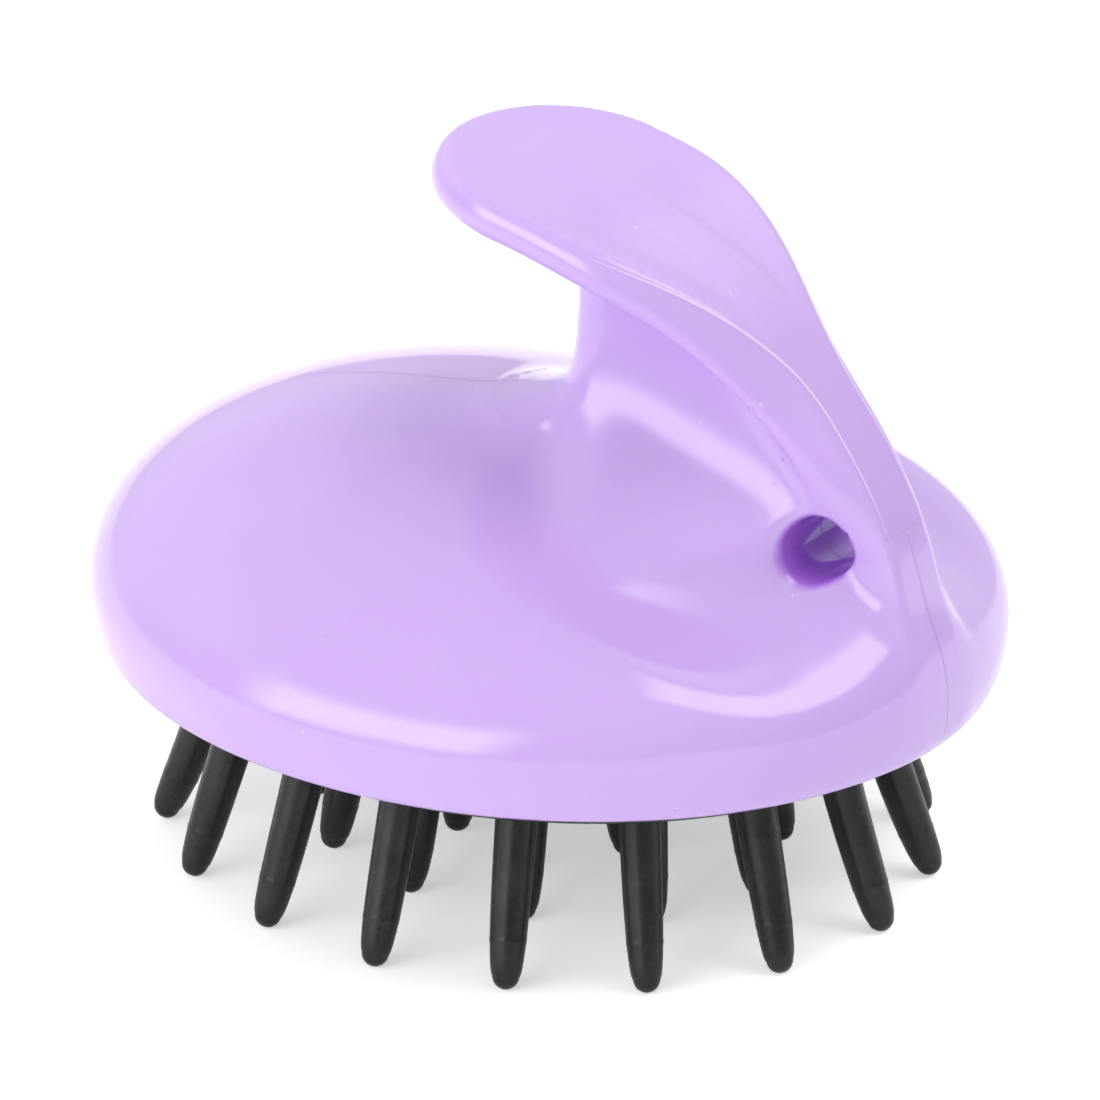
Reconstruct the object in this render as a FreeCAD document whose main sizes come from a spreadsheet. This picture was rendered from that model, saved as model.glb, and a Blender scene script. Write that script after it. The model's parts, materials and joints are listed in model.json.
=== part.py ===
import FreeCAD, Part
import math
import os

# Hand-held curry comb with soft rubber fingers.
#
# Frame: the plane of symmetry is X = 0, the thumb tongue of the handle points towards +Y and +Z is up.
# The origin is the centre of the plane that the fingertips rest on.  All sizes are in millimetres.

doc = FreeCAD.newDocument("CurryComb")

DRIVING_SIZES = {
    # domed shell: horizontal sections are ellipses whose half-axes shrink with height
    "half_width": 41.0,
    "half_length": 46.0,
    "rim_height": 20.5,
    "widest_rise": 5.5,
    "crown_rise": 26.2,
    "rim_ratio": 0.956,
    "crown_setback": 7.3,
    "length_power_outer": 1.86,
    "length_power_inner": 2.17,
    "width_power_outer": 1.27,
    "width_power_inner": 1.83,
    "rim_wall": 2.0,
    "roof_wall": 2.4,
    "recess_depth": 6.0,
    # finger scoops: hollows in the dome on both sides of the handle's foot
    "scoop_radius": 30.0,
    "scoop_spread": 20.8,
    "scoop_floor_rise": 14.0,
    "scoop_pitch": 18.0,
    "scoop_length": 90.0,
    # handle web: a fin between the dome and the strap
    "nose_setback": 4.2,
    "root_front": 3.0,
    "root_half_width": 14.0,
    "root_rise": 12.0,
    "hip_rise": 20.5,
    "hip_back": 40.5,
    "hip_half_width": 8.4,
    "waist_rise": 28.5,
    "waist_back": 35.8,
    "waist_half_width": 6.0,
    "elbow_rise": 38.0,
    "elbow_back": 27.6,
    "elbow_half_width": 4.8,
    "crown_web_rise": 46.4,
    "crown_web_back": 10.0,
    "crown_web_half_width": 4.0,
    # handle strap: points along its top face, as distance behind the origin and rise above the rim
    "tip_reach": 10.4,
    "tip_rise": 52.4,
    "heel_back": 11.7,
    "heel_rise": 48.6,
    "shoulder_back": 22.5,
    "shoulder_rise": 43.8,
    "bend_back": 33.9,
    "bend_rise": 33.4,
    "saddle_back": 42.2,
    "saddle_rise": 19.4,
    "foot_back": 44.2,
    "foot_rise": 4.0,
    "strap_thickness": 4.2,
    "tongue_half_width": 13.6,
    "tongue_round_length": 14.0,
    "neck_start": 18.0,
    "neck_end": 50.0,
    "neck_half_width": 3.4,
    "base_start": 25.0,
    "base_end": 61.0,
    "base_end_half_width": 4.4,
    # hanging hole, across the foot of the handle
    "hole_radius": 3.1,
    "hole_back": 34.6,
    "hole_rise": 20.4,
    "hole_wall": 2.3,
    # sockets in the shell and pegs on the plate
    "socket_radius": 4.2,
    "socket_bore_radius": 2.55,
    "socket_start_rise": 5.2,
    "socket_bore_end_rise": 15.6,
    "peg_radius": 2.5,
    "peg_end_rise": 15.0,
    "peg_spread": 15.0,
    "peg_front": 20.0,
    "peg_rear": 20.0,
    "rib_thickness": 1.6,
    "rib_start_rise": 8.0,
    # rubber pad: a tray whose lip grips the plate
    "pad_gap": 0.1,
    "pad_proud": 1.0,
    "pad_floor": 2.6,
    "pad_wall": 1.8,
    "pad_lip_reach": 3.4,
    "pad_lip_thickness": 1.2,
    "plate_thickness": 2.0,
    "plate_gap": 0.05,
    "plate_edge_gap": 0.1,
    # rubber fingers
    "finger_root_radius": 2.1,
    "finger_tip_radius": 1.3,
    "outer_count": 17,
    "outer_tip_half_width": 33.9,
    "outer_tip_half_length": 38.8,
    "outer_splay": 6.6,
    "middle_count": 11,
    "middle_tip_half_width": 18.9,
    "middle_tip_half_length": 24.6,
    "middle_splay": 3.0,
    "inner_count": 5,
    "inner_tip_radius": 8.2,
    "inner_splay": 1.2,
}


def make_sheet():
    """Write the driving sizes as plain numbers with an alias for each."""
    sheet = doc.addObject("Spreadsheet::Sheet", "Sizes")
    for row, (name, value) in enumerate(DRIVING_SIZES.items(), start=1):
        sheet.set("A%d" % row, name)
        sheet.set("B%d" % row, str(value))
        sheet.setAlias("B%d" % row, name)
    doc.recompute()
    return sheet


sheet = make_sheet()


def size(name):
    """The value of one driving size."""
    return float(getattr(sheet, name))


def bind(obj, **expressions):
    """Bind properties of an object to the sheet; a double underscore stands for a dot."""
    for path, text in expressions.items():
        obj.setExpression(path.replace("__", "."), text)


def ellipse(label, long_half, short_half, rise, back="0", long_axis="Y"):
    """A horizontal ellipse at a rise above the rim, with its centre a distance behind the origin."""
    curve = doc.addObject("Part::Ellipse", label)
    if long_axis == "Y":
        curve.Placement = FreeCAD.Placement(FreeCAD.Vector(), FreeCAD.Rotation(FreeCAD.Vector(0, 0, 1), 90))
    bind(
        curve,
        MajorRadius=long_half,
        MinorRadius=short_half,
        Placement__Base__y="-(%s)" % back,
        Placement__Base__z="Sizes.rim_height + (%s)" % rise,
    )
    return curve


def loft(label, sections):
    """A smooth solid through closed sections."""
    solid = doc.addObject("Part::Loft", label)
    solid.Sections = sections
    solid.Solid = True
    solid.Ruled = False
    return solid


def extrude_up(label, curve, length):
    """A prism from a closed horizontal curve."""
    solid = doc.addObject("Part::Extrusion", label)
    solid.Base = curve
    solid.DirMode = "Custom"
    solid.Dir = FreeCAD.Vector(0, 0, 1)
    solid.Solid = True
    bind(solid, LengthFwd=length)
    return solid


def cylinder(label, radius, length, x="0", back="0", rise="0", across=False):
    """An upright cylinder, or one along X that is centred on the plane of symmetry."""
    solid = doc.addObject("Part::Cylinder", label)
    if across:
        solid.Placement = FreeCAD.Placement(FreeCAD.Vector(), FreeCAD.Rotation(FreeCAD.Vector(0, 1, 0), 90))
        x = "-(%s) / 2" % length
    bind(
        solid,
        Radius=radius,
        Height=length,
        Placement__Base__x=x,
        Placement__Base__y="-(%s)" % back,
        Placement__Base__z="Sizes.rim_height + (%s)" % rise,
    )
    return solid


def fuse(label, shapes):
    """The union of several shapes."""
    union = doc.addObject("Part::MultiFuse", label)
    union.Shapes = shapes
    return union


def cut(label, base, tool):
    """One shape with another taken away."""
    rest = doc.addObject("Part::Cut", label)
    rest.Base = base
    rest.Tool = tool
    return rest


def common(label, base, tool):
    """The space that two shapes share."""
    shared = doc.addObject("Part::Common", label)
    shared.Base = base
    shared.Tool = tool
    return shared


# ---------------------------------------------------------------- domed shell

UPPER_LEVELS = (0.0, 0.2, 0.4, 0.58, 0.74, 0.87, 0.95, 0.985)
LOWER_ANGLES = (0, 45)


def shrink(side, level):
    """How much a half-axis has shrunk at a level between the widest section (0) and the crown (1)."""
    inner = "Sizes.%s_power_inner" % side
    outer = "Sizes.%s_power_outer" % side
    return "(1 - %s ^ %s) ^ (1 / %s)" % (level, inner, outer)


def dome_sections(prefix, half_length, half_width, base_rise, top_rise):
    """The ellipses from the widest section up to the crown, each set back a little more."""
    curves = []
    for number, level in enumerate(UPPER_LEVELS):
        length_factor = shrink("length", level) if level else "1"
        width_factor = shrink("width", level) if level else "1"
        curves.append(ellipse(
            "%s_section_%d" % (prefix, number),
            "(%s) * %s" % (half_length, length_factor),
            "(%s) * %s" % (half_width, width_factor),
            "(%s) + ((%s) - (%s)) * %s" % (base_rise, top_rise, base_rise, level),
            back="Sizes.crown_setback * (1 - %s)" % length_factor,
        ))
    return curves


def make_scoops(label, radius):
    """A pair of long round rods that lie along the handle, deepest beside its foot."""
    rods = []
    for side, sign in (("right", ""), ("left", "-")):
        rod = doc.addObject("Part::Cylinder", "%s_%s" % (label, side))
        pitch = size("scoop_pitch")
        rod.Placement = FreeCAD.Placement(
            FreeCAD.Vector(), FreeCAD.Rotation(FreeCAD.Vector(1, 0, 0), pitch - 90))
        axis_rise = "Sizes.scoop_floor_rise + Sizes.scoop_radius"
        bind(
            rod,
            Radius=radius,
            Height="Sizes.scoop_length",
            Placement__Base__x=sign + "Sizes.scoop_spread",
            Placement__Base__y="-Sizes.hole_back - Sizes.scoop_length / 2 * cos(%g deg)" % pitch,
            Placement__Base__z="Sizes.rim_height + %s - Sizes.scoop_length / 2 * sin(%g deg)" % (axis_rise, pitch),
        )
        rods.append(rod)
    return fuse(label, rods)


def make_dome():
    """The outer skin of the shell: a turned-in rim below the widest section, and the dome above it."""
    rim = []
    for angle in LOWER_ANGLES:
        factor = "(Sizes.rim_ratio + (1 - Sizes.rim_ratio) * sin(%d deg))" % angle
        rim.append(ellipse(
            "rim_section_%d" % angle,
            "Sizes.half_length * %s" % factor,
            "Sizes.half_width * %s" % factor,
            "Sizes.widest_rise * (1 - cos(%d deg))" % angle,
        ))
    upper = dome_sections(
        "dome", "Sizes.half_length", "Sizes.half_width", "Sizes.widest_rise", "Sizes.crown_rise")
    return cut("scooped_dome", loft("dome_skin", rim + upper), make_scoops("finger_scoop", "Sizes.scoop_radius"))


def make_cavity():
    """The hollow of the shell: a straight recess for the pad, with the arched roof above it."""
    half_length = "Sizes.half_length * Sizes.rim_ratio - Sizes.rim_wall"
    half_width = "Sizes.half_width * Sizes.rim_ratio - Sizes.rim_wall"
    opening = ellipse("recess_opening", half_length, half_width, "-Sizes.rim_wall")
    recess = extrude_up("pad_recess", opening, "Sizes.recess_depth + Sizes.rim_wall")
    roof = loft("roof_space", dome_sections(
        "roof", half_length, half_width, "Sizes.recess_depth", "Sizes.crown_rise - Sizes.roof_wall"))
    space = fuse("cavity", [recess, roof])
    return cut("backed_cavity", space, make_scoops("scoop_backing", "Sizes.scoop_radius + Sizes.roof_wall"))


# ---------------------------------------------------------------- handle

WEB_LEVELS = ("hip", "waist", "elbow", "crown_web")


def make_web():
    """The fin of the handle: upright at its nose, flared where it meets the dome."""
    root = ellipse(
        "web_root",
        "(Sizes.hip_back + Sizes.root_front) / 2",
        "Sizes.root_half_width",
        "Sizes.root_rise",
        back="(Sizes.hip_back - Sizes.root_front) / 2",
    )
    sections = [root]
    for name in WEB_LEVELS:
        front = "Sizes.nose_setback" if name != "hip" else "0"
        back = "Sizes.%s_back" % name
        half_length = "(%s - %s) / 2" % (back, front)
        half_width = "Sizes.%s_half_width" % name
        long_axis = "Y"
        if name == "crown_web":
            half_length, half_width = half_width, half_length
            long_axis = "X"
        sections.append(ellipse(
            "web_" + name,
            half_length,
            half_width,
            "Sizes.%s_rise" % name,
            back="(%s + %s) / 2" % (back, front),
            long_axis=long_axis,
        ))
    return loft("handle_web", sections)


SPINE_POINTS = ("heel", "shoulder", "bend", "saddle", "foot")
STRAP_STATIONS = (0.0, 0.6, 2.5, 6.0, 11.0, 18.0, 26.0, 34.0, 42.0, 52.0, 64.0, 76.0)


def strap_spine():
    """The line down the middle of the strap's top face, from the tip of the tongue to the foot."""
    rim = size("rim_height")
    points = [FreeCAD.Vector(0, size("tip_reach"), rim + size("tip_rise"))]
    for name in SPINE_POINTS:
        points.append(FreeCAD.Vector(0, -size(name + "_back"), rim + size(name + "_rise")))
    spine = Part.BSplineCurve()
    spine.interpolate(points)
    return spine


def tip_share(distance):
    """The share of its full width that the rounded tongue has reached at a distance from the tip."""
    tip_margin = 0.02
    ahead = max(0.0, 1 - distance / size("tongue_round_length"))
    return math.sqrt(max(tip_margin, 1 - ahead ** 2))


def strap_top_width(distance):
    """Half the width of the strap's top face: a rounded tongue, then a long neck."""
    tongue = size("tongue_half_width")
    neck = size("neck_half_width")
    turn = (distance - size("neck_start")) / (size("neck_end") - size("neck_start"))
    turn = min(1.0, max(0.0, turn))
    return tip_share(distance) * (neck + (tongue - neck) * 0.5 * (1 + math.cos(math.pi * turn)))


def strap_base_width(distance):
    """Half the width of the strap's underside, which narrows more slowly than its top."""
    tongue = size("tongue_half_width")
    turn = (distance - size("base_start")) / (size("base_end") - size("base_start"))
    turn = min(1.0, max(0.0, turn))
    width = tongue + (size("base_end_half_width") - tongue) * turn
    return max(tip_share(distance) * width, strap_top_width(distance))


def strap_section(centre, upright, top_width, base_width, half_thickness):
    """A flat section whose two sides are arcs from the top face out to the wider base."""
    across = FreeCAD.Vector(1, 0, 0)
    lift = upright * half_thickness
    top = across * (top_width - half_thickness / 2)
    base = across * (base_width - half_thickness / 2)
    side = across * ((top_width + base_width) / 2)
    edges = [
        Part.LineSegment(centre - top + lift, centre + top + lift),
        Part.Arc(centre + top + lift, centre + side, centre + base - lift),
        Part.LineSegment(centre + base - lift, centre - base - lift),
        Part.Arc(centre - base - lift, centre - side, centre - top + lift),
    ]
    return Part.Wire([edge.toShape() for edge in edges])


def make_strap():
    """The strap of the handle: flat sections with rounded sides that hang below the spine."""
    spine = strap_spine()
    half_thickness = size("strap_thickness") / 2
    tip_fullness = 0.45
    sections = []
    for distance in STRAP_STATIONS:
        parameter = spine.parameterAtDistance(distance)
        tangent = spine.tangent(parameter)[0]
        upright = tangent.cross(FreeCAD.Vector(1, 0, 0))
        fullness = min(1.0, tip_fullness + distance / size("tongue_round_length"))
        centre = spine.value(parameter) - upright * half_thickness
        sections.append(strap_section(
            centre, upright, strap_top_width(distance), strap_base_width(distance), half_thickness * fullness))
    strap = doc.addObject("Part::Feature", "handle_strap")
    strap.Shape = Part.makeLoft(sections, True, False)
    return strap


# ---------------------------------------------------------------- shell details


def peg_places():
    """Where the four pegs stand: expressions for X and for the distance behind the origin."""
    places = []
    for side, sign in (("right", ""), ("left", "-")):
        places.append(("front_" + side, sign + "Sizes.peg_spread", "-Sizes.peg_front"))
        places.append(("rear_" + side, sign + "Sizes.peg_spread", "Sizes.peg_rear"))
    return places


def make_rib(label, x_size, y_size, back):
    """An upright stiffening rib that hangs from the roof."""
    rib = doc.addObject("Part::Box", label)
    bind(
        rib,
        Length=x_size,
        Width=y_size,
        Height="Sizes.crown_rise - Sizes.rib_start_rise",
        Placement__Base__x="-(%s) / 2" % x_size,
        Placement__Base__y="-(%s) - (%s) / 2" % (back, y_size),
        Placement__Base__z="Sizes.rim_height + Sizes.rib_start_rise",
    )
    return rib


def make_shell():
    """One moulding: dome and handle outside; sockets, ribs and the collar of the hole inside."""
    outside = fuse("shell_outside", [make_dome(), make_web(), make_strap()])
    hollow = cut("hollow_shell", outside, make_cavity())
    inner = []
    bores = []
    for name, x, back in peg_places():
        inner.append(cylinder(
            "socket_" + name, "Sizes.socket_radius", "Sizes.crown_rise - Sizes.socket_start_rise",
            x=x, back=back, rise="Sizes.socket_start_rise"))
        bores.append(cylinder(
            "socket_bore_" + name, "Sizes.socket_bore_radius",
            "Sizes.socket_bore_end_rise - Sizes.socket_start_rise + Sizes.roof_wall",
            x=x, back=back, rise="Sizes.socket_start_rise - Sizes.roof_wall"))
    rib_length = "Sizes.peg_spread * 2"
    inner.append(make_rib("front_rib", rib_length, "Sizes.rib_thickness", "-Sizes.peg_front"))
    inner.append(make_rib("rear_rib", rib_length, "Sizes.rib_thickness", "Sizes.peg_rear"))
    inner.append(make_rib(
        "spine_rib", "Sizes.rib_thickness", "Sizes.peg_front + Sizes.peg_rear",
        "(Sizes.peg_rear - Sizes.peg_front) / 2"))
    inner.append(cylinder(
        "hole_collar", "Sizes.hole_radius + Sizes.hole_wall", "Sizes.root_half_width * 2",
        back="Sizes.hole_back", rise="Sizes.hole_rise", across=True))
    trimmed = common("trimmed_inner", fuse("inner_details", inner), outside)
    whole = fuse("whole_shell", [hollow, trimmed])
    bores.append(cylinder(
        "hanging_hole", "Sizes.hole_radius", "Sizes.half_width * 2",
        back="Sizes.hole_back", rise="Sizes.hole_rise", across=True))
    return cut("handle_shell", whole, fuse("shell_bores", bores))


# ---------------------------------------------------------------- rubber pad with its fingers


def ring_point(half_width, half_length, share):
    """A point on an oval, a share of the way round by arc length, starting at the back."""
    oval = Part.Ellipse(FreeCAD.Vector(0, half_length, 0), FreeCAD.Vector(-half_width, 0, 0), FreeCAD.Vector())
    half_turn = math.pi
    start_length = oval.length(0, half_turn)
    distance = (start_length + share * oval.length()) % oval.length()
    return oval.value(oval.parameterAtDistance(distance, 0))


def make_finger(label, root, tip):
    """A tapered rubber finger: a cone from the pad down to a round tip."""
    lean = tip - root
    cone = doc.addObject("Part::Cone", label + "_stem")
    bind(cone, Radius1="Sizes.finger_root_radius", Radius2="Sizes.finger_tip_radius")
    cone.Height = lean.Length
    cone.Placement = FreeCAD.Placement(root, FreeCAD.Rotation(FreeCAD.Vector(0, 0, 1), lean))
    ball = doc.addObject("Part::Sphere", label + "_tip")
    bind(ball, Radius="Sizes.finger_tip_radius")
    ball.Placement = FreeCAD.Placement(tip, FreeCAD.Rotation())
    return [cone, ball]


def make_finger_ring(name, half_width, half_length, splay, count):
    """Fingers spaced evenly round an oval, leaning outwards, with one at the back."""
    root_height = size("rim_height") - size("pad_proud") + size("pad_floor") / 2
    tip_height = size("finger_tip_radius")
    shapes = []
    for number in range(count):
        tip = ring_point(half_width, half_length, number / count)
        outward = FreeCAD.Vector(tip.x / half_width ** 2, tip.y / half_length ** 2, 0)
        outward.normalize()
        root = tip - outward * splay
        tip.z = tip_height
        root.z = root_height
        shapes += make_finger("%s_finger_%02d" % (name, number + 1), root, tip)
    return shapes


def pad_ring(label, outer_inset, inner_inset, rise, thickness):
    """An oval ring of the pad, given by how far its edges lie inside the shell's recess."""
    length = "Sizes.half_length * Sizes.rim_ratio - Sizes.rim_wall"
    width = "Sizes.half_width * Sizes.rim_ratio - Sizes.rim_wall"
    edges = []
    for edge, inset in (("outer", outer_inset), ("inner", inner_inset)):
        curve = ellipse(
            "%s_%s_edge" % (label, edge), "%s - (%s)" % (length, inset), "%s - (%s)" % (width, inset), rise)
        edges.append(extrude_up("%s_%s_prism" % (label, edge), curve, thickness))
    return cut(label, edges[0], edges[1])


def make_pad():
    """The rubber moulding: a tray floor, a side wall and a lip over the plate, with all fingers."""
    length = "Sizes.half_length * Sizes.rim_ratio - Sizes.rim_wall - Sizes.pad_gap"
    width = "Sizes.half_width * Sizes.rim_ratio - Sizes.rim_wall - Sizes.pad_gap"
    floor_edge = ellipse("pad_floor_edge", length, width, "-Sizes.pad_proud")
    floor = extrude_up("pad_floor_slab", floor_edge, "Sizes.pad_floor")
    wall_rise = "Sizes.pad_floor - Sizes.pad_proud"
    wall_height = "Sizes.plate_thickness + 2 * Sizes.plate_gap"
    wall = pad_ring("pad_side_wall", "Sizes.pad_gap", "Sizes.pad_gap + Sizes.pad_wall", wall_rise, wall_height)
    lip = pad_ring(
        "pad_lip", "Sizes.pad_gap", "Sizes.pad_gap + Sizes.pad_lip_reach",
        "%s + %s" % (wall_rise, wall_height), "Sizes.pad_lip_thickness")
    shapes = [floor, wall, lip]
    for ring in ("outer", "middle"):
        shapes += make_finger_ring(
            ring, size(ring + "_tip_half_width"), size(ring + "_tip_half_length"),
            size(ring + "_splay"), int(size(ring + "_count")))
    inner_radius = size("inner_tip_radius")
    shapes += make_finger_ring(
        "inner", inner_radius, inner_radius * size("half_length") / size("half_width"),
        size("inner_splay"), int(size("inner_count")))
    return fuse("finger_pad", shapes)


# ---------------------------------------------------------------- plate behind the pad


def make_plate():
    """The stiff plate that the pad is stretched over, with four pegs that push into the shell."""
    inset = "(Sizes.rim_wall + Sizes.pad_gap + Sizes.pad_wall + Sizes.plate_edge_gap)"
    length = "Sizes.half_length * Sizes.rim_ratio - " + inset
    width = "Sizes.half_width * Sizes.rim_ratio - " + inset
    base_rise = "Sizes.pad_floor - Sizes.pad_proud + Sizes.plate_gap"
    edge = ellipse("plate_edge", length, width, base_rise)
    shapes = [extrude_up("plate_slab", edge, "Sizes.plate_thickness")]
    for name, x, back in peg_places():
        shapes.append(cylinder(
            "peg_" + name, "Sizes.peg_radius", "Sizes.peg_end_rise - (%s)" % base_rise,
            x=x, back=back, rise=base_rise))
    return fuse("carrier_plate", shapes)


# ---------------------------------------------------------------- build, check and write


def check(obj):
    """Stop if an object failed to compute."""
    state = list(obj.State)
    if "Invalid" in state or "Error" in state:
        raise RuntimeError("%s is in state %s" % (obj.Label, state))


subparts = [make_shell(), make_pad(), make_plate()]
doc.recompute()
for item in doc.Objects:
    check(item)
for part in subparts:
    shape = part.Shape
    if shape.isNull() or not shape.isValid():
        raise RuntimeError("%s has no valid shape" % part.Label)

os.makedirs("parts", exist_ok=True)
for part in subparts:
    part.Shape.exportStep("parts/%s.step" % part.Label)
    print(part.Label, len(part.Shape.Solids), "solids", round(part.Shape.Volume), "mm3")
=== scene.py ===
import json
import math
import random

import bpy
import numpy as np
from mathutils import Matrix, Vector


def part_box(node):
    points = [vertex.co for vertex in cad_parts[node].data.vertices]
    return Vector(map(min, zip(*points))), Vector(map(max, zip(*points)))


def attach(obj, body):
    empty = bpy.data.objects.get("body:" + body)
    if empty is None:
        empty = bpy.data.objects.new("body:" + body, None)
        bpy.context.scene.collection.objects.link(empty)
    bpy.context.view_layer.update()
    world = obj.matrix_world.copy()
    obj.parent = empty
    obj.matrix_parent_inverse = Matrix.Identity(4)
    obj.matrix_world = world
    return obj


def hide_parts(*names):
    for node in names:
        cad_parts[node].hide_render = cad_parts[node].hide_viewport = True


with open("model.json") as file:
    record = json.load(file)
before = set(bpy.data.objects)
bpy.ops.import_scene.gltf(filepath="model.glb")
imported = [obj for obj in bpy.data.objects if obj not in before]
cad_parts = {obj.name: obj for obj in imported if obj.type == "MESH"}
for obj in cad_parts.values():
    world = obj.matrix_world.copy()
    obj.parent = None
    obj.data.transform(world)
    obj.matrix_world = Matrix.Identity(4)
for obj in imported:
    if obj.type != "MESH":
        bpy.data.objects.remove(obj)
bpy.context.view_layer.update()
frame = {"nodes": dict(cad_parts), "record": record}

# A hand-held curry comb: a glossy lilac shell with a thumb handle over a black rubber pad of splayed fingers.
#
# Shape functions work in millimetres, in the frame's X and Y, with heights measured from the shell's rim.
# The plane of symmetry is X = 0 and the tongue of the handle points towards +Y.

MM = 0.001
SHELL_LOW, SHELL_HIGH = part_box("handle_shell")
PAD_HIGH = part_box("finger_pad")[1]
RIM = SHELL_LOW.z / MM
HALF_WIDTH = SHELL_HIGH.x / MM
HALF_LENGTH = SHELL_HIGH.y / MM
HOLE = frame["record"]["mounts"][0]
HOLE_RADIUS = HOLE["dims"]["r_mm"]
HOLE_Y = HOLE["pos_m"][1] / MM
HOLE_RISE = HOLE["pos_m"][2] / MM - RIM

# ---------------------------------------------------------------- small helpers


def smooth_min(a, b, size):
    """The lower of two fields, with the corner between them rounded over a given size."""
    near = np.maximum(1 - np.abs(a - b) / size, 0)
    return np.minimum(a, b) - near ** 3 * size / 6


def smooth_max(a, b, size):
    """The higher of two fields, with the corner between them rounded over a given size."""
    return -smooth_min(-a, -b, size)


def ramp(value, low, high):
    """A smooth step from 0 at low to 1 at high."""
    t = np.clip((value - low) / (high - low), 0, 1)
    return t * t * (3 - 2 * t)


def distance_from(level, points, reach=20.0):
    """Turn a level function into an approximate signed distance by dividing by its slope."""
    step = 0.02
    here = level(points)
    slope = np.zeros(len(points))
    for axis in range(3):
        moved = points.copy()
        moved[:, axis] += step
        slope += ((level(moved) - here) / step) ** 2
    return np.clip(here / np.sqrt(slope + 1e-12), -reach, reach)


# ---------------------------------------------------------------- dome

WIDEST_RISE = 5.5
CROWN_RISE = 26.2
CROWN_SETBACK = 7.3
RIM_RATIO = 0.956
LENGTH_POWERS = (1.86, 2.17)
WIDTH_POWERS = (1.27, 1.83)
RIM_WALL = 2.0
ROOF_WALL = 2.4
RECESS_DEPTH = 6.0
SCOOP_RADIUS = 30.0
SCOOP_SPREAD = 20.8
SCOOP_FLOOR = 14.0
SCOOP_PITCH = math.radians(18)
SCOOP_EDGE = 5.0
RIM_EDGE = 0.8


def oval_radius(points, half_length, half_width, setback):
    """Distance from the axis as a share of an oval's half-axes, and how far it points along the length."""
    along = ((points[:, 1] + setback) / half_length) ** 2
    across = (points[:, 0] / half_width) ** 2
    total = along + across + 1e-12
    return np.sqrt(total), along / total


def dome_level(points, half_length, half_width, base, crown):
    """Below zero inside a dome whose widest oval is at the base height."""
    height = (points[:, 2] - base) / (crown - base)
    rise = np.clip(height, 0, None)
    capped = np.clip(rise, 0, 1)
    setback = CROWN_SETBACK * (0.35 * capped ** 2 + 0.5 * capped ** 6)
    radius, lengthwise = oval_radius(points, half_length, half_width, setback)
    outer = WIDTH_POWERS[0] + (LENGTH_POWERS[0] - WIDTH_POWERS[0]) * lengthwise
    inner = WIDTH_POWERS[1] + (LENGTH_POWERS[1] - WIDTH_POWERS[1]) * lengthwise
    return radius ** outer + rise ** inner - 1


def outer_dome_level(points):
    """The dome's outer skin, turned in below its widest oval down to the rim."""
    below = np.clip(1 - points[:, 2] / WIDEST_RISE, 0, 1)
    tuck = RIM_RATIO + (1 - RIM_RATIO) * np.sqrt(1 - below ** 2)
    squeezed = points.copy()
    squeezed[:, :2] /= tuck[:, None]
    return dome_level(squeezed, HALF_LENGTH, HALF_WIDTH, WIDEST_RISE, CROWN_RISE)


def scoop_distance(points, radius):
    """Distance to the pair of round rods that hollow the dome beside the handle's foot."""
    lift = points[:, 2] - SCOOP_FLOOR - SCOOP_RADIUS
    ahead = points[:, 1] - HOLE_Y
    above_axis = lift * math.cos(SCOOP_PITCH) - ahead * math.sin(SCOOP_PITCH)
    beside_axis = np.abs(points[:, 0]) - SCOOP_SPREAD
    return np.hypot(beside_axis, above_axis) - radius


def dome(points):
    """The outside of the dome, with the finger scoops and a flat rim."""
    skin = distance_from(outer_dome_level, points)
    scooped = smooth_max(skin, -scoop_distance(points, SCOOP_RADIUS), SCOOP_EDGE)
    return smooth_max(scooped, -points[:, 2], RIM_EDGE)


# ---------------------------------------------------------------- handle

SPINE = ((10.4, 52.4), (-11.7, 48.6), (-22.5, 43.8), (-33.9, 33.4), (-42.2, 19.4), (-44.2, 4.0))
STRAP_THICKNESS = 4.4
TONGUE_EDGE = 1.4
NECK_EDGE = 0.8
DISH_DEPTH = 0.25
CREASE_SIZE = 0.7
LOWER_EDGE = 1.2
BASE_END = 61.0
BASE_END_WIDTH = 4.3
BASE_SLOPE = 0.257
SIDE_SLANT = 0.93
TONGUE_HALF_WIDTH = 13.6
TONGUE_ROUND = 14.0
NECK_START = 18.0
NECK_END = 50.0
NECK_HALF_WIDTH = 3.3
NOSE_Y = -4.4
FOOT_END = 3.0
RIDGE_FRONT = (-8.0, 31.3)
RIDGE_BACK = (-31.4, 24.2)
RIDGE_HALF_WIDTH = 5.6
NOSE_DEPTH = 5.2
FIN_LEAN = math.tan(math.radians(13))
FIN_FLARE = math.tan(math.radians(40))
FLARE_GROWS = (4, 15)
FLARE_FADES = (26, 34)
FLARE_LOSS = 0.4
NOSE_BEND = 29.4
NOSE_SLOPE = 1.7
NOSE_SWEEP = 6.0
FOOT_EDGE = 2.0


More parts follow.
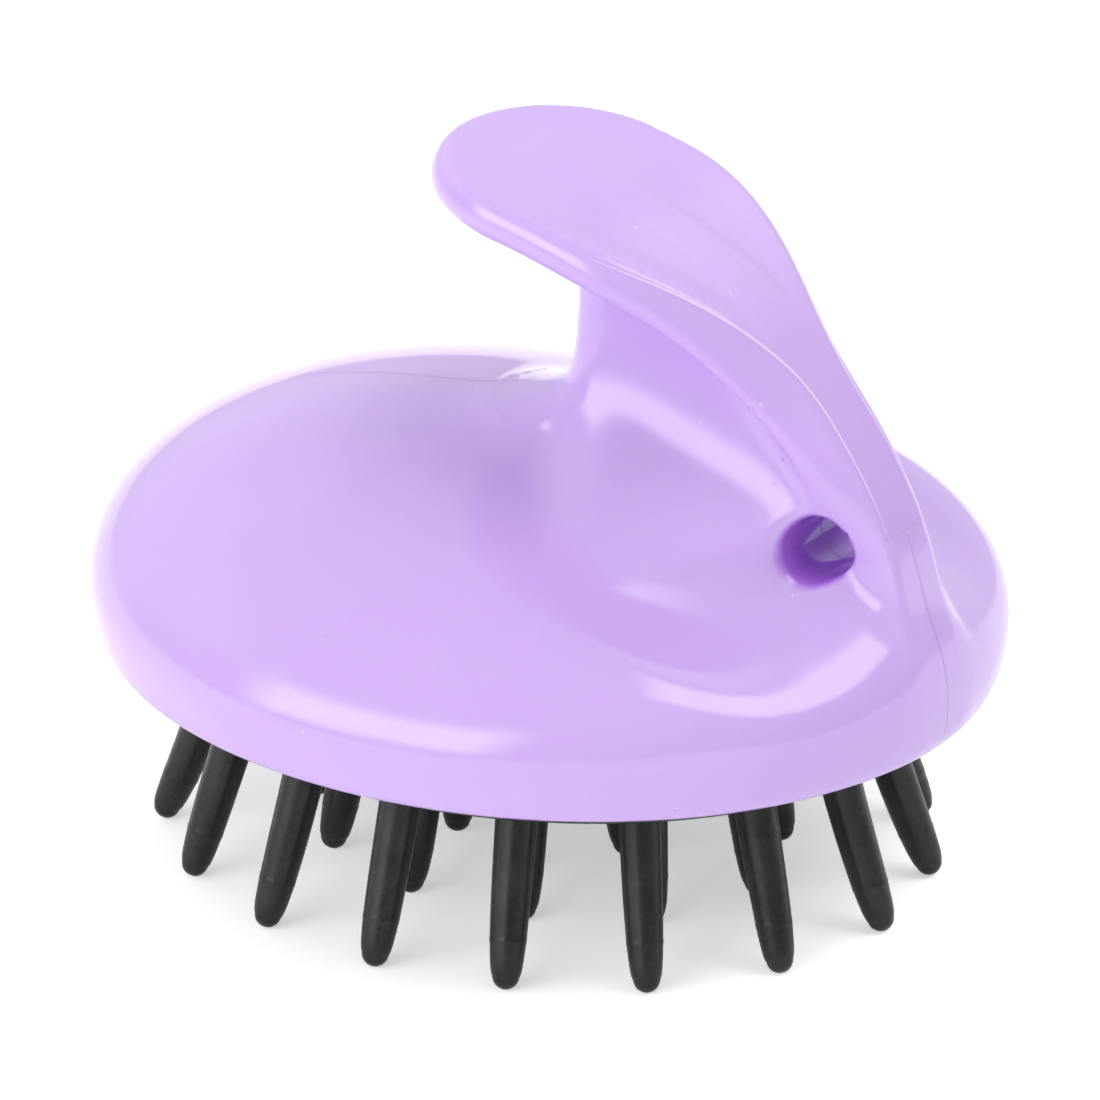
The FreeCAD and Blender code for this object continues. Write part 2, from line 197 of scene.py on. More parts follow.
def natural_spline(knots, count):
    """Evenly spaced points on a smooth curve through the knots."""
    knots = np.array(knots, float)
    gaps = np.linalg.norm(np.diff(knots, axis=0), axis=1)
    where = np.concatenate([[0], np.cumsum(gaps)])
    size = len(knots)
    system = np.eye(size)
    target = np.zeros((size, 2))
    for i in range(1, size - 1):
        system[i, i - 1:i + 2] = gaps[i - 1], 2 * (gaps[i - 1] + gaps[i]), gaps[i]
        target[i] = 6 * ((knots[i + 1] - knots[i]) / gaps[i] - (knots[i] - knots[i - 1]) / gaps[i - 1])
    bend = np.linalg.solve(system, target)
    fine = np.linspace(0, where[-1], 20 * count)
    span = np.clip(np.searchsorted(where, fine) - 1, 0, size - 2)
    gap = gaps[span][:, None]
    left = (where[span + 1] - fine)[:, None]
    right = (fine - where[span])[:, None]
    curve = (bend[span] * left ** 3 + bend[span + 1] * right ** 3) / (6 * gap)
    curve += (knots[span] / gap - bend[span] * gap / 6) * left
    curve += (knots[span + 1] / gap - bend[span + 1] * gap / 6) * right
    length = np.concatenate([[0], np.cumsum(np.linalg.norm(np.diff(curve, axis=0), axis=1))])
    even = np.linspace(0, length[-1], count)
    return np.stack([np.interp(even, length, curve[:, i]) for i in (0, 1)], axis=1), even


SPINE_COUNT = 320
SPINE_POINTS, SPINE_LENGTHS = natural_spline(SPINE, SPINE_COUNT)
SPINE_STEP = SPINE_LENGTHS[1]
SPINE_TANGENTS = np.gradient(SPINE_POINTS, SPINE_STEP, axis=0)
SPINE_TANGENTS /= np.linalg.norm(SPINE_TANGENTS, axis=1, keepdims=True)
SPINE_BENDS = np.gradient(np.unwrap(np.arctan2(SPINE_TANGENTS[:, 1], SPINE_TANGENTS[:, 0])), SPINE_STEP)
NEAREST_LOW = np.array((-70.0, -40.0))
NEAREST_CELL = 0.5
NEAREST_COLUMNS = 280
NEAREST_ROWS = 220


def nearest_table():
    """The nearest spine point for each cell of a coarse grid in the plane of symmetry."""
    columns = NEAREST_LOW[0] + NEAREST_CELL * (np.arange(NEAREST_COLUMNS) + 0.5)
    rows = NEAREST_LOW[1] + NEAREST_CELL * (np.arange(NEAREST_ROWS) + 0.5)
    table = np.empty((NEAREST_COLUMNS, NEAREST_ROWS), int)
    for number, y in enumerate(columns):
        gap = np.stack([np.full(NEAREST_ROWS, y), rows], axis=1)[:, None, :] - SPINE_POINTS[None, :, :]
        table[number] = np.argmin((gap ** 2).sum(axis=2), axis=1)
    return table


NEAREST = nearest_table()


def spine_place(points):
    """Length along the spine from the tip of the tongue, and height above the spine."""
    flat = points[:, 1:]
    cell = ((flat - NEAREST_LOW) / NEAREST_CELL).astype(int)
    column = np.clip(cell[:, 0], 0, NEAREST_COLUMNS - 1)
    row = np.clip(cell[:, 1], 0, NEAREST_ROWS - 1)
    place = NEAREST[column, row].astype(float)
    for _ in range(4):
        index = np.clip(place.astype(int), 0, len(SPINE_POINTS) - 2)
        share = (place - index)[:, None]
        centre = SPINE_POINTS[index] + (SPINE_POINTS[index + 1] - SPINE_POINTS[index]) * share
        change = SPINE_TANGENTS[index + 1] - SPINE_TANGENTS[index]
        tangent = SPINE_TANGENTS[index] + change * np.clip(share, 0, 1)
        offset = flat - centre
        above = offset[:, 0] * tangent[:, 1] - offset[:, 1] * tangent[:, 0]
        ahead = (offset * tangent).sum(axis=1)
        place += ahead / SPINE_STEP / np.maximum(1 + SPINE_BENDS[index] * above, 0.4)
    return place * SPINE_STEP, above


def strap_top_width(along):
    """Half the width of the strap's top face: a broad tongue that narrows to a long neck."""
    turn = np.clip((along - NECK_START) / (NECK_END - NECK_START), 0, 1)
    return NECK_HALF_WIDTH + (TONGUE_HALF_WIDTH - NECK_HALF_WIDTH) * 0.5 * (1 + np.cos(math.pi * turn))


def strap_base_width(along):
    """Half the width of the strap's underside, which narrows later and more slowly than its top."""
    slow = BASE_END_WIDTH + BASE_SLOPE * (BASE_END - along)
    return np.maximum(smooth_min(slow, TONGUE_HALF_WIDTH + 0 * along, 1.5), strap_top_width(along))


def strap_side(along, above):
    """Half the strap's width at a depth below its top face."""
    depth = np.clip(-above / STRAP_THICKNESS, 0, 1)
    return strap_top_width(along) + (strap_base_width(along) - strap_top_width(along)) * depth


def strap_outline(x, along, above):
    """Distance outside the strap's side faces and its rounded tip."""
    side = (np.abs(x) - strap_side(along, above)) * SIDE_SLANT
    ahead = (along - TONGUE_ROUND) / TONGUE_ROUND
    across = x / TONGUE_HALF_WIDTH
    share = np.hypot(ahead, across) + 1e-9
    slant = np.hypot(ahead / TONGUE_ROUND, across / TONGUE_HALF_WIDTH) + 1e-9
    tip = share * (share - 1) / slant
    return np.where(along < TONGUE_ROUND, tip, side)


def strap(points, along, above):
    """A strap with a slightly dished top and a rounded band along its edge, hanging below the spine."""
    outline = strap_outline(points[:, 0], along, above)
    reach = TONGUE_EDGE + (NECK_EDGE - TONGUE_EDGE) * ramp(along, NECK_START, NECK_END)
    dish = DISH_DEPTH * ramp(-outline, reach, 4 * reach)
    reach = reach * (1 + LOWER_EDGE * np.clip(-above / STRAP_THICKNESS, 0, 1))
    middle = above + dish + STRAP_THICKNESS / 2
    across = np.maximum(outline + reach, 0) / reach
    through = np.abs(middle) / (STRAP_THICKNESS / 2)
    share = (across ** 1.7 + through ** 2.2 + 1e-9) ** (1 / 1.9)
    sideways = across / (across + through + 1e-9)
    edge = (share - 1) * (STRAP_THICKNESS / 2 + (reach - STRAP_THICKNESS / 2) * sideways)
    return np.where(across > 0, edge, np.abs(middle) - STRAP_THICKNESS / 2)


def soft_ramp(value, softness):
    """Zero for low values, the value itself for high ones, with a soft bend between."""
    scaled = np.clip(value / softness, -40, 40)
    return np.where(scaled > 20, value, np.log1p(np.exp(scaled)) * softness)


def ridge_height(y):
    """Height of the line along the fin's flank where it starts to flare, from the nose to the hole."""
    share = (y - RIDGE_BACK[0]) / (RIDGE_FRONT[0] - RIDGE_BACK[0])
    return RIDGE_BACK[1] + (RIDGE_FRONT[1] - RIDGE_BACK[1]) * share


def fin(points, along, above):
    """The upright fin between the strap and the dome, leaning in above the ridge and flared below it."""
    lift = points[:, 2] - ridge_height(points[:, 1])
    behind = -points[:, 1]
    flare = FIN_FLARE * ramp(behind, *FLARE_GROWS) * (1 - FLARE_LOSS * ramp(behind, *FLARE_FADES))
    half = RIDGE_HALF_WIDTH - FIN_LEAN * soft_ramp(lift, 2.0) + flare * soft_ramp(-lift, 1.2)
    below = np.clip(-above - STRAP_THICKNESS, 0, None)
    half = smooth_min(half, strap_side(along, above) - 0.4 + 0.5 * below, 1.5)
    half = np.maximum(half, 1.2)
    front = NOSE_Y + np.minimum(NOSE_SLOPE * soft_ramp(NOSE_BEND - points[:, 2], 0.8), NOSE_SWEEP)
    nose = np.maximum(points[:, 1] - front + NOSE_DEPTH, 0) * half / NOSE_DEPTH
    return smooth_max(np.hypot(points[:, 0], nose) - half, above + 1.0, 1.0)


def handle(points):
    """Strap and fin together, ending a little above the rim."""
    along, above = spine_place(points)
    softness = 2.2 + 1.8 * ramp(along, 30, 50)
    upper = smooth_min(strap(points, along, above), fin(points, along, above), softness)
    return smooth_max(smooth_max(upper, above, CREASE_SIZE), FOOT_END - points[:, 2], FOOT_EDGE)


def outer_skin(points):
    """The outside of the shell without its holes."""
    flare = 4.0 + 7.0 * ramp(points[:, 1], -43, -28)
    return smooth_min(dome(points), handle(points), flare)


# ---------------------------------------------------------------- inside of the shell

PEG_SPREAD = 15.0
PEG_REACH = 20.0
SOCKET_RADIUS = 4.2
SOCKET_BORE = 2.55
SOCKET_START = 5.2
SOCKET_END = 15.6
RIB_THICKNESS = 1.6
RIB_START = 8.0
COLLAR_WALL = 2.3


def cavity(points):
    """The hollow of the shell: an oval recess for the pad under an arched roof."""
    half_length = HALF_LENGTH * RIM_RATIO - RIM_WALL
    half_width = HALF_WIDTH * RIM_RATIO - RIM_WALL
    hollow = distance_from(
        lambda p: dome_level(p, half_length, half_width, RECESS_DEPTH, CROWN_RISE - ROOF_WALL), points)
    return np.maximum(hollow, -scoop_distance(points, SCOOP_RADIUS + ROOF_WALL))


def to_nearest_peg(points):
    """Distance from the axis of the nearest of the four pegs."""
    return np.hypot(np.abs(points[:, 0]) - PEG_SPREAD, np.abs(points[:, 1]) - PEG_REACH)


def inner_details(points):
    """Sockets for the pegs, stiffening ribs and the collar round the hanging hole."""
    x, y, z = np.abs(points[:, 0]), points[:, 1], points[:, 2]
    socket = np.maximum(to_nearest_peg(points) - SOCKET_RADIUS, SOCKET_START - z)
    cross_rib = np.maximum(np.abs(np.abs(y) - PEG_REACH) - RIB_THICKNESS / 2, x - PEG_SPREAD)
    spine_rib = np.maximum(x - RIB_THICKNESS / 2, np.abs(y) - PEG_REACH)
    ribs = np.maximum(np.minimum(cross_rib, spine_rib), RIB_START - z)
    collar = np.hypot(y - HOLE_Y, z - HOLE_RISE) - HOLE_RADIUS - COLLAR_WALL
    return smooth_min(np.minimum(socket, ribs), collar, 0.5)


def socket_bores(points):
    """The four blind holes that take the plate's pegs, open towards the rim."""
    return np.maximum(to_nearest_peg(points) - SOCKET_BORE, points[:, 2] - SOCKET_END)


def shell(points):
    """The whole shell: below zero inside the plastic."""
    hollow = np.maximum(cavity(points), -inner_details(points))
    hole = np.hypot(points[:, 1] - HOLE_Y, points[:, 2] - HOLE_RISE) - HOLE_RADIUS
    lip = 0.4 + 2.0 * ramp(points[:, 1] - HOLE_Y, -HOLE_RADIUS, HOLE_RADIUS)
    solid = np.maximum(np.maximum(outer_skin(points), -hollow), -socket_bores(points))
    return smooth_max(solid, -hole, lip)


# ---------------------------------------------------------------- from a field to a mesh


def grid_axis(low, high, cell):
    """Evenly spaced grid lines that cover a range and pass through zero."""
    first = math.floor(low / cell) - 2
    last = math.ceil(high / cell) + 2
    return np.arange(first, last + 1) * cell


def field_on_grid(field, axes):
    """The field at every crossing of some grid lines."""
    grid = np.stack(np.meshgrid(*axes, indexing="ij"), axis=-1)
    return field(grid.reshape(-1, 3)).reshape(grid.shape[:3])


def grid_values(field, axes, cell, mirrored):
    """The field on a grid, worked out in full only near the surface."""
    stride = 4
    coarse = field_on_grid(field, [axis[::stride] for axis in axes])
    values = coarse
    for axis in range(3):
        values = np.repeat(values, stride, axis=axis)
    padding = [(0, max(0, len(axis) - size)) for axis, size in zip(axes, values.shape)]
    values = np.pad(values, padding, mode="edge")[tuple(slice(0, len(axis)) for axis in axes)]
    near = np.abs(values) < 2.2 * stride * cell
    if mirrored:
        near &= (axes[0] <= cell / 2)[:, None, None]
    index = np.argwhere(near)
    points = np.stack([axes[k][index[:, k]] for k in range(3)], axis=1)
    values[tuple(index.T)] = field(points)
    if mirrored:
        middle = int(np.argmin(np.abs(axes[0])))
        reach = min(middle, len(axes[0]) - 1 - middle)
        values[middle + 1:middle + 1 + reach] = values[middle - reach:middle][::-1]
    return values


def surface_net(field, low, high, cell, mirrored=False):
    """Vertices and quads of the surface where a field crosses zero."""
    axes = [grid_axis(a, b, cell) for a, b in zip(low, high)]
    values = grid_values(field, axes, cell, mirrored)
    inside = values < 0
    cells = tuple(n - 1 for n in values.shape)
    total = np.zeros(cells + (3,))
    count = np.zeros(cells)
    quads = []
    crossings = []
    for axis in range(3):
        low_side = [slice(None)] * 3
        high_side = [slice(None)] * 3
        low_side[axis] = slice(0, -1)
        high_side[axis] = slice(1, None)
        a, b = values[tuple(low_side)], values[tuple(high_side)]
        crossed = inside[tuple(low_side)] != inside[tuple(high_side)]
        index = np.argwhere(crossed)
        share = (a / (a - b + (a == b)))[crossed]
        place = index.astype(float)
        place[:, axis] += share
        u, v = (axis + 1) % 3, (axis + 2) % 3
        keep = (index[:, u] > 0) & (index[:, v] > 0) & (index[:, u] < cells[u]) & (index[:, v] < cells[v])
        index, place = index[keep], place[keep]
        corners = []
        for du, dv in ((1, 1), (0, 1), (0, 0), (1, 0)):
            cell_index = index.copy()
            cell_index[:, u] -= du
            cell_index[:, v] -= dv
            np.add.at(total, tuple(cell_index.T), place)
            np.add.at(count, tuple(cell_index.T), 1)
            corners.append(cell_index)
        crossings.append((corners, inside[tuple(index.T)]))
    used = count > 0
    number = np.full(cells, -1)
    number[used] = np.arange(used.sum())
    spots = total[used] / count[used][:, None]
    start = np.array([a[0] for a in axes])
    vertices = start + spots * cell
    for corners, filled in crossings:
        quad = np.stack([number[tuple(c.T)] for c in corners], axis=1)
        quad[~filled] = quad[~filled][:, ::-1]
        quads.append(quad)
    return vertices, np.concatenate(quads)


def gradient(field, points, step=0.02):
    """Unit outward directions of a field at some points."""
    slopes = []
    for axis in range(3):
        shift = np.zeros(3)
        shift[axis] = step
        slopes.append(field(points + shift) - field(points - shift))
    slopes = np.stack(slopes, axis=1)
    return slopes / np.maximum(np.linalg.norm(slopes, axis=1, keepdims=True), 1e-12)


def settle(field, vertices, cell, rounds=3):
    """Move vertices along the field's slope, keeping only the steps that bring them nearer to its surface."""
    here = field(vertices)
    for _ in range(rounds):
        step = gradient(field, vertices) * np.clip(here, -0.4 * cell, 0.4 * cell)[:, None]
        for share in (1.0, 0.5):
            moved = vertices - step * share
            there = field(moved)
            nearer = np.abs(there) < np.abs(here)
            vertices = np.where(nearer[:, None], moved, vertices)
            here = np.where(nearer, there, here)
            step = np.where(nearer[:, None], 0, step)
    return vertices


def mesh_object(name, vertices, faces, normals=None):
    """A Blender object from points in millimetres above the rim, shaded smooth."""
    mesh = bpy.data.meshes.new(name)
    placed = (np.asarray(vertices) + (0, 0, RIM)) * MM
    mesh.from_pydata(placed.tolist(), [], faces)
    mesh.polygons.foreach_set("use_smooth", [True] * len(mesh.polygons))
    if normals is not None:
        mesh.normals_split_custom_set_from_vertices(normals.tolist())
    obj = bpy.data.objects.new(name, mesh)
    bpy.context.scene.collection.objects.link(obj)
    return obj


def build_shell():
    """The lilac shell as one closed mesh."""
    cell = 0.45
    low = (-HALF_WIDTH, -HALF_LENGTH - 1, 0)
    high = (HALF_WIDTH, HALF_LENGTH, SHELL_HIGH.z / MM - RIM + 1)
    vertices, quads = surface_net(shell, low, high, cell, mirrored=True)
    vertices = settle(shell, vertices, cell)
    return mesh_object("lilac_shell", vertices, quads.tolist(), gradient(shell, vertices))


# ---------------------------------------------------------------- mould lines

LINE_RADIUS = 0.10
LINE_SUNK = 0.4
FRONT_LINE = (1.0, 30.5)
BACK_LINE = (22.0, 1.5)
BACK_REACH = 20.0
CROSS_LINE_HALF = 3.2
CROSS_LINE_RISE = 22.3
CLEAR = 8.0
EDGE_LINE_START = 20.0
EDGE_LINE_END = 67.0
EDGE_LINE_INSET = 0.6
EDGE_LINE_RADIUS = 0.2
EDGE_LINE_SUNK = 0.75


def skin_points(outside, inside, rounds=30):
    """Where straight lines from outside points to inside points meet the skin."""
    outside, inside = np.array(outside, float), np.array(inside, float)
    for _ in range(rounds):
        halfway = (outside + inside) / 2
        solid = (outer_skin(halfway) < 0)[:, None]
        inside = np.where(solid, halfway, inside)
        outside = np.where(solid, outside, halfway)
    return (outside + inside) / 2


def bead(name, path, normals, closed=False, radius=LINE_RADIUS, sunk=LINE_SUNK):
    """A very thin raised bead along a path on a surface, where two halves of the mould met."""
    ahead = np.roll(path, -1, axis=0) - np.roll(path, 1, axis=0) if closed else np.gradient(path, axis=0)
    ahead /= np.linalg.norm(ahead, axis=1, keepdims=True)
    sideways = np.cross(ahead, normals)
    centres = path - normals * radius * sunk
    fade = np.ones(len(path)) if closed else np.sin(np.linspace(0.02, 0.98, len(path)) * math.pi) ** 0.25
    sides = 8
    vertices = []
    for i in range(len(path)):
        for k in range(sides):
            angle = 2 * math.pi * k / sides
            reach = sideways[i] * math.cos(angle) + normals[i] * math.sin(angle)
            vertices.append(centres[i] + reach * radius * fade[i])
    faces = []
    for i in range(len(path) - (0 if closed else 1)):
        here, there = i * sides, (i + 1) % len(path) * sides
        for k in range(sides):
            turn = (k + 1) % sides
            faces.append((here + k, here + turn, there + turn, there + k))
    if not closed:
        faces.append(tuple(reversed(range(sides))))
        faces.append(tuple(range((len(path) - 1) * sides, len(path) * sides)))
    return mesh_object(name, vertices, faces)


def mould_line(name, path, radius=LINE_RADIUS, sunk=LINE_SUNK):
    """A bead along a path on the outer skin."""
    return bead(name, path, gradient(outer_skin, path), radius=radius, sunk=sunk)


def strap_edge_line(name, side):
    """The fine raised line where the strap's top face meets its edge, from the tongue to the foot."""
    first, last = np.searchsorted(SPINE_LENGTHS, (EDGE_LINE_START, EDGE_LINE_END))
    centre, ahead = SPINE_POINTS[first:last], SPINE_TANGENTS[first:last]
    inset = NECK_EDGE * EDGE_LINE_INSET
    across = side * (strap_top_width(SPINE_LENGTHS[first:last]) - inset)
    path = np.column_stack([across, centre])
    upward = np.column_stack([0 * across, ahead[:, 1], -ahead[:, 0]])
    path = skin_points(path + 3 * upward, path - 3 * upward)
    return mould_line(name, path, EDGE_LINE_RADIUS, EDGE_LINE_SUNK)


def flash_ring():
    """The thin ring of flash halfway through the hanging hole, where two mould pins met."""
    angles = np.linspace(0, 2 * math.pi, 64, endpoint=False)
    outward = np.stack([0 * angles, np.cos(angles), np.sin(angles)], axis=1)
    return bead("hole_flash_ring", (0, HOLE_Y, HOLE_RISE) + outward * HOLE_RADIUS, -outward, closed=True)


def build_mould_lines():
    """Lines in the plane of symmetry on the dome's front and back, and one across the strap's foot."""
    count = 90
    middle = np.zeros(count)
    above = np.stack([middle, np.linspace(*FRONT_LINE, count), middle + CROWN_RISE + CLEAR], axis=1)
    lines = [mould_line("front_mould_line", skin_points(above, above - (0, 0, CROWN_RISE)))]
    behind = np.stack([middle, middle - HALF_LENGTH - CLEAR, np.linspace(*BACK_LINE, count)], axis=1)
    lines.append(mould_line("back_mould_line", skin_points(behind, behind + (0, BACK_REACH, 0))))
    across = np.linspace(-CROSS_LINE_HALF, CROSS_LINE_HALF, 24)
    behind = np.stack([across, 0 * across - HALF_LENGTH - CLEAR, 0 * across + CROSS_LINE_RISE], axis=1)
    lines.append(mould_line("cross_mould_line", skin_points(behind, behind + (0, BACK_REACH, 0))))
    lines.append(flash_ring())
    return lines


def build_edge_lines():
    """The two lines along the strap, coloured lighter as painted light."""
    return [strap_edge_line("left_edge_line", -1), strap_edge_line("right_edge_line", 1)]


# ---------------------------------------------------------------- rubber pad

PAD_HALF_WIDTH = PAD_HIGH.x / MM
PAD_HALF_LENGTH = PAD_HIGH.y / MM
PAD_PROUD = 1.4
PAD_FLOOR = 3.0
PAD_WALL = 1.8
PAD_LIP = 3.4
PAD_LIP_THICKNESS = 1.2
PLATE_SPACE = 2.1
FINGER_ROOT_RADIUS = 2.1
FINGER_TIP_RADIUS = 1.3
RINGS = (
    {"count": 17, "half_width": 33.9, "half_length": 38.8, "splay": 6.6},
    {"count": 11, "half_width": 18.9, "half_length": 24.6, "splay": 3.0},
    {"count": 5, "half_width": 8.2, "half_length": 9.2, "splay": 1.2},
)
CHANCE = random.Random(11)


def ring_angles(half_width, half_length, count):
    """Angles of points spaced evenly by length round an oval, starting at the back."""
    fine = np.linspace(0, 2 * math.pi, 2001)
    steps = np.hypot(np.diff(half_width * np.sin(fine)), np.diff(half_length * np.cos(fine)))
    length = np.concatenate([[0], np.cumsum(steps)])
    return np.interp(np.arange(count) / count * length[-1], length, fine)


def finger_list():
    """Root, tip and bend of every finger."""
    fingers = []
    for ring in RINGS:
        for angle in ring_angles(ring["half_width"], ring["half_length"], ring["count"]):
            tip = np.array([-ring["half_width"] * math.sin(angle), -ring["half_length"] * math.cos(angle), 0])
            outward = tip / (ring["half_width"] ** 2, ring["half_length"] ** 2, 1)
            outward /= np.linalg.norm(outward)
            root = tip - outward * ring["splay"]
            tip[2] = FINGER_TIP_RADIUS - RIM
            root[2] = 0.2
            sway = np.array([CHANCE.uniform(-0.25, 0.25), CHANCE.uniform(-0.25, 0.25), 0])
            fingers.append((root, tip, sway - outward * 0.25))
    return fingers


FINGERS = finger_list()


def finger(points, root, tip, bend):
    """A blunt tapered finger whose line bows slightly to one side."""
    axis = tip - root
    share = np.clip(((points - root) @ axis) / (axis @ axis), 0, 1)
    centre = root + share[:, None] * axis + (4 * share * (1 - share))[:, None] * bend
    taper = FINGER_ROOT_RADIUS - 0.25 * share
    radius = FINGER_TIP_RADIUS + (taper - FINGER_TIP_RADIUS) * np.sqrt(np.clip(1 - share ** 5, 0, 1))
    ring_line = 0.04 * np.exp(-((share - 0.83) / 0.012) ** 2)
    return np.linalg.norm(points - centre, axis=1) - radius - ring_line


def oval_distance(points, half_width, half_length):
    """Distance outside an upright oval prism."""
    share = np.hypot(points[:, 0] / half_width, points[:, 1] / half_length) + 1e-9
    slant = np.hypot(points[:, 0] / half_width ** 2, points[:, 1] / half_length ** 2) + 1e-9
    return share * (share - 1) / slant


def pad(points):
    """The rubber moulding: a tray with a lip over the plate's edge, and all its fingers."""
    z = points[:, 2]
    edge = oval_distance(points, PAD_HALF_WIDTH, PAD_HALF_LENGTH)
    floor_top = PAD_FLOOR - PAD_PROUD
    wall_top = floor_top + PLATE_SPACE
    floor = np.abs(z - (floor_top - PAD_PROUD) / 2) - PAD_FLOOR / 2
    slab = smooth_max(edge, floor, 0.9)
    wall = np.maximum(np.maximum(edge, -edge - PAD_WALL), np.maximum(-z, z - wall_top - PAD_LIP_THICKNESS))
    lip_height = np.abs(z - wall_top - PAD_LIP_THICKNESS / 2) - PAD_LIP_THICKNESS / 2
    lip = np.maximum(np.maximum(edge, -edge - PAD_LIP), lip_height)
    body = np.minimum(slab, np.minimum(wall, lip))
    reach = FINGER_ROOT_RADIUS + 3.0
    for root, tip, bend in FINGERS:
        low = np.minimum(root, tip) - reach
        high = np.maximum(root, tip) + reach
        near = np.all((points > low) & (points < high), axis=1) & (z < 1.0)
        if near.any():
            body[near] = smooth_min(body[near], finger(points[near], root, tip, bend), 1.6)
    return body


def build_pad():
    """The black rubber pad as one closed mesh."""
    cell = 0.4
    low = (-PAD_HALF_WIDTH, -PAD_HALF_LENGTH, -RIM)
    high = (PAD_HALF_WIDTH, PAD_HALF_LENGTH, PAD_FLOOR - PAD_PROUD + PLATE_SPACE + PAD_LIP_THICKNESS)
    vertices, quads = surface_net(pad, low, high, cell)
    vertices = settle(pad, vertices, cell)
    return mesh_object("rubber_pad", vertices, quads.tolist(), gradient(pad, vertices))


# ---------------------------------------------------------------- materials

PLASTIC_IOR = 1.55
TABLE_GLOW = 0.22
TABLE_SEEN = 0.48


def add_node(tree, kind, settings=None, **inputs):
    """Add a shader node; each input is a value or another node's output."""
    made = tree.nodes.new("ShaderNode" + kind)
    for name, value in (settings or {}).items():
        setattr(made, name, value)
    for name, value in inputs.items():
        socket = made.inputs[name.replace("_", " ")]
        if isinstance(value, bpy.types.NodeSocket):
            tree.links.new(value, socket)
        else:
            socket.default_value = value
    return made


def start_material(name):
    """A new node material, its shader and the object's own coordinates."""
    material = bpy.data.materials.new(name)
    material.use_nodes = True
    tree = material.node_tree
    return material, tree, tree.nodes["Principled BSDF"], add_node(tree, "TexCoord").outputs["Object"]


def noise(tree, place, scale, detail=2.0):
    """A soft noise between 0 and 1."""
    return add_node(tree, "TexNoise", Vector=place, Scale=scale, Detail=detail).outputs[0]


def remap(tree, value, low, high, out_low, out_high):
    """Map a range of a value onto another range."""
    made = add_node(tree, "MapRange", Value=value)
    for name, number in (("From Min", low), ("From Max", high), ("To Min", out_low), ("To Max", out_high)):
        made.inputs[name].default_value = number
    return made.outputs["Result"]


def blend(tree, share, first, second):
    """Mix two colours by a share."""
    made = add_node(tree, "Mix", {"data_type": "RGBA"})
    for socket, value in ((made.inputs[0], share), (made.inputs[6], first), (made.inputs[7], second)):
        if isinstance(value, bpy.types.NodeSocket):
            tree.links.new(value, socket)
        else:
            socket.default_value = value
    return made.outputs[2]


def hairlines(tree, place, stretch, scale):
    """Thin scratches along one direction: noise drawn out into streaks and cut to its peaks."""
    drawn = add_node(tree, "Mapping", Vector=place, Scale=stretch).outputs["Vector"]
    streaks = noise(tree, drawn, scale, detail=3.0)
    return remap(tree, streaks, 0.66, 0.72, 0.0, 1.0)


def set_shader(tree, shader, **inputs):
    """Set or link inputs of the main shader."""
    for name, value in inputs.items():
        socket = shader.inputs[name.replace("_", " ")]
        if isinstance(value, bpy.types.NodeSocket):
            tree.links.new(value, socket)
        else:
            socket.default_value = value


def painted_hole_shade(tree, place):
    """A mask for the painted shade inside the hanging hole: one on the hole's wall and zero a little outside
    it.
    """
    offset = add_node(tree, "VectorMath", {"operation": "SUBTRACT"})
    tree.links.new(place, offset.inputs[0])
    offset.inputs[1].default_value = (0, HOLE_Y * MM, (HOLE_RISE + RIM) * MM)
    flat = add_node(tree, "VectorMath", {"operation": "MULTIPLY"})
    tree.links.new(offset.outputs["Vector"], flat.inputs[0])
    flat.inputs[1].default_value = (0, 1, 1)
    reach = add_node(tree, "VectorMath", {"operation": "LENGTH"})
    tree.links.new(flat.outputs["Vector"], reach.inputs[0])
    return remap(tree, reach.outputs["Value"], (HOLE_RADIUS + 0.1) * MM, (HOLE_RADIUS + 0.6) * MM, 1.0, 0.0)


def painted_light_plastic():
    """The same plastic in a lighter colour: painted light that stands in for the light coming through the
    thin edge along the strap's crease.
    """
    material, tree, shader, place = start_material("painted_light_plastic")
    colour = blend(tree, noise(tree, place, 60.0), (0.63, 0.49, 0.80, 1), (0.70, 0.56, 0.86, 1))
    rough = remap(tree, noise(tree, place, 120.0, 4.0), 0.35, 0.75, 0.10, 0.18)
    ripple = add_node(tree, "Bump", Strength=0.10, Distance=0.0001, Height=noise(tree, place, 200.0, 1.0))
    set_shader(tree, shader, Base_Color=colour, Roughness=rough, Normal=ripple.outputs["Normal"])
    set_shader(tree, shader, IOR=PLASTIC_IOR)
    return material


